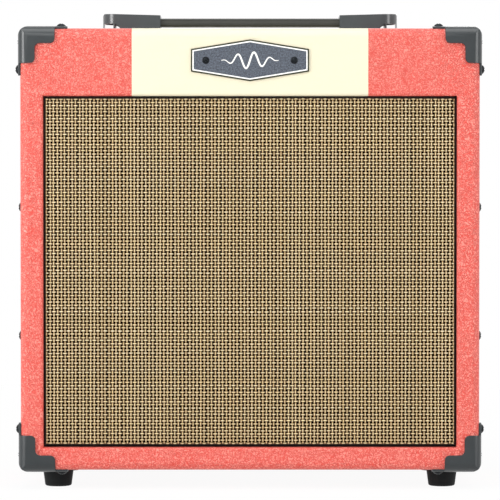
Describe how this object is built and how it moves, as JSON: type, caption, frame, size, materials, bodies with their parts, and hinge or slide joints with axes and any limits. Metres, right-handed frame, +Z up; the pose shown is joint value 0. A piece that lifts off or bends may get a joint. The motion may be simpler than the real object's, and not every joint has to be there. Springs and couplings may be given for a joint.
{
  "type": "guitar amplifier",
  "caption": "Small guitar combo amplifier: red vinyl cabinet with a cream stripe, tan woven grille, plastic corners, strap handle, top control panel and open back.",
  "frame": {"origin": "centre of the footprint, on the surface that the feet stand on", "axes": "+X to the right of a viewer in front, -Y the way the grille faces, +Z up"},
  "size_m": [0.3784, 0.2036, 0.3866],
  "materials": {
    "poplar_plywood": "bare plywood",
    "black_board": "board painted matt black",
    "pine": "planed",
    "red_vinyl": "pebble-grained vinyl covering",
    "cream_vinyl": "smooth vinyl covering",
    "grille_fabric": "plain weave of thick tan yarns",
    "badge_metal": "dark lacquer with a light outline",
    "black_abs": "satin moulded plastic",
    "blackened_steel": "black zinc screws",
    "zinc_steel": "bright zinc",
    "black_rubber": "matt",
    "strap_vinyl": "moulded over a steel band",
    "black_steel": "powder coat",
    "ferrite": "ground",
    "paper_cone": "ribbed pulp",
    "copper": "enamelled wire",
    "amber_cloth": "resin-dipped cloth",
    "phenolic": "paper laminate",
    "wire_sheath": "soft PVC",
    "knob_plastic": "fluted, polished",
    "ivory_plastic": "moulded",
    "red_plastic": "moulded",
    "lamp_red": "clear red resin",
    "nickel": "plated",
    "green_laminate": "solder-masked board with parts",
    "core_steel": "varnished laminations"
  },
  "bodies": {
    "cabinet": {"top_board": "poplar_plywood", "bottom_board": "poplar_plywood", "left_side_board": "poplar_plywood", "right_side_board": "poplar_plywood", "fascia_board": "poplar_plywood", "baffle_board": "black_board", "pine_cleats": "pine", "vinyl_cover": "red_vinyl", "stripe_cover": "cream_vinyl", "grille_frame": "pine", "grille_cloth": "grille_fabric", "lower_rear_panel": "red_vinyl", "badge_plate": "badge_metal", "badge_screws": "blackened_steel", "front_corners": "black_abs", "rear_corners": "black_abs", "corner_screws": "blackened_steel", "feet": "black_rubber", "foot_screws": "zinc_steel", "baffle_screws": "blackened_steel", "panel_screws": "blackened_steel", "handle_cap_left": "black_abs", "handle_cap_right": "black_abs", "handle_strap_ends": "strap_vinyl", "handle_screws": "zinc_steel", "tee_nuts": "zinc_steel", "speaker_basket": "black_steel", "speaker_gasket": "paper_cone", "speaker_magnet": "ferrite", "speaker_top_plate": "zinc_steel", "speaker_yoke": "zinc_steel", "speaker_surround": "black_rubber", "speaker_spider": "amber_cloth", "speaker_terminals": "phenolic", "speaker_bolts": "zinc_steel", "speaker_leads": "wire_sheath", "chassis": "black_steel", "control_panel": "black_steel", "switch_housings": "black_abs", "potentiometers": "nickel", "jack_sockets": "nickel", "pilot_lamp": "lamp_red", "circuit_board": "green_laminate", "power_transformer": "core_steel", "mains_inlet": "black_abs", "reverb_tank": "zinc_steel", "reverb_springs": "zinc_steel"},
    "cone": {"speaker_cone": "paper_cone", "speaker_dust_cap": "paper_cone", "voice_coil": "copper"},
    "strap": {"handle_grip": "strap_vinyl"},
    "button": {"channel_button": "ivory_plastic"},
    "rocker": {"power_rocker": "red_plastic"},
    "drawer": {"fuse_drawer": "black_abs"},
    "gain_knob": {"gain_knob": "knob_plastic"},
    "volume_knob": {"volume_knob": "knob_plastic"},
    "bass_knob": {"bass_knob": "knob_plastic"},
    "middle_knob": {"middle_knob": "knob_plastic"},
    "treble_knob": {"treble_knob": "knob_plastic"},
    "reverb_knob": {"reverb_knob": "knob_plastic"}
  },
  "joints": [
    {"name": "gain_turn", "type": "hinge", "parent": "cabinet", "child": "gain_knob", "pos_m": [-0.092, 0.06, 0.3614], "axis": [0, 0, 1], "range_deg": [-150, 150]},
    {"name": "volume_turn", "type": "hinge", "parent": "cabinet", "child": "volume_knob", "pos_m": [-0.058, 0.06, 0.3614], "axis": [0, 0, 1], "range_deg": [-150, 150]},
    {"name": "bass_turn", "type": "hinge", "parent": "cabinet", "child": "bass_knob", "pos_m": [-0.024, 0.06, 0.3614], "axis": [0, 0, 1], "range_deg": [-150, 150]},
    {"name": "middle_turn", "type": "hinge", "parent": "cabinet", "child": "middle_knob", "pos_m": [0.01, 0.06, 0.3614], "axis": [0, 0, 1], "range_deg": [-150, 150]},
    {"name": "treble_turn", "type": "hinge", "parent": "cabinet", "child": "treble_knob", "pos_m": [0.044, 0.06, 0.3614], "axis": [0, 0, 1], "range_deg": [-150, 150]},
    {"name": "reverb_turn", "type": "hinge", "parent": "cabinet", "child": "reverb_knob", "pos_m": [0.078, 0.06, 0.3614], "axis": [0, 0, 1], "range_deg": [-150, 150]},
    {"name": "channel_press", "type": "slide", "parent": "cabinet", "child": "button", "axis": [0, 0, -1], "range_m": [0, 0.003], "stiffness_N_per_m": 150, "springref_m": -0.002},
    {"name": "power_tilt", "type": "hinge", "parent": "cabinet", "child": "rocker", "pos_m": [0.13, 0.06, 0.3602], "axis": [1, 0, 0], "range_deg": [0, 16]},
    {"name": "cone_stroke", "type": "slide", "parent": "cabinet", "child": "cone", "axis": [0, 1, 0], "range_m": [-0.004, 0.004], "stiffness_N_per_m": 1500, "deforming": ["speaker_surround", "speaker_spider"]},
    {"name": "strap_lift", "type": "slide", "parent": "cabinet", "child": "strap", "axis": [0, 0, 1], "range_m": [0, 0.015], "deforming": ["handle_strap_ends"]},
    {"name": "drawer_pull", "type": "slide", "parent": "cabinet", "child": "drawer", "axis": [0, 1, 0], "range_m": [0, 0.01]}
  ]
}
